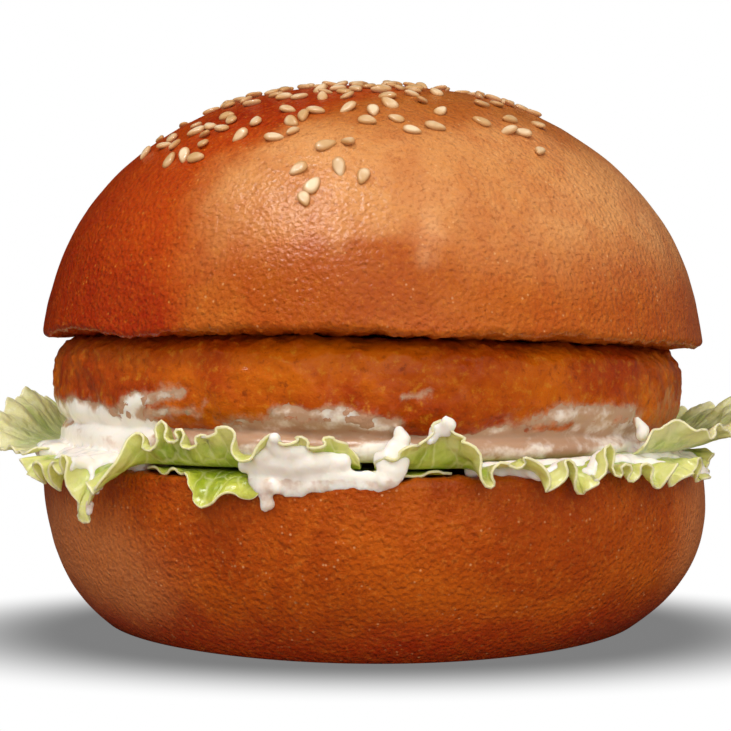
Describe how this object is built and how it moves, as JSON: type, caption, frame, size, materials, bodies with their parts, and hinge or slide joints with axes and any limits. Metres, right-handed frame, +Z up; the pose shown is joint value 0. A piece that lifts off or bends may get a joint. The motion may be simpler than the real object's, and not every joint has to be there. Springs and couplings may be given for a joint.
{
  "type": "chicken burger",
  "caption": "Chicken burger: glossy sesame bun crown, thick fried chicken patty, mayonnaise and frilly lettuce on a rounded bun heel.",
  "frame": {"origin": "centre of the bun heel's flat base, where the burger rests", "axes": "+Z up through the crown, -Y the burger's front, +X its right-hand side seen from the front"},
  "size_m": [0.1284, 0.1208, 0.0879],
  "materials": {
    "crust": "glossy baked crust with an egg wash",
    "breading": "crisp fried breading, slightly oily",
    "mayonnaise": "smooth and wet",
    "lettuce": "waxy and slightly wet"
  },
  "bodies": {
    "root": {"bun_heel": "crust", "bun_crown": "crust", "chicken_patty": "breading", "mayonnaise": "mayonnaise", "lettuce_inner": "lettuce", "lettuce_left": "lettuce", "lettuce_front_left": "lettuce", "lettuce_front_right": "lettuce", "lettuce_right": "lettuce", "lettuce_back": "lettuce"}
  },
  "joints": []
}
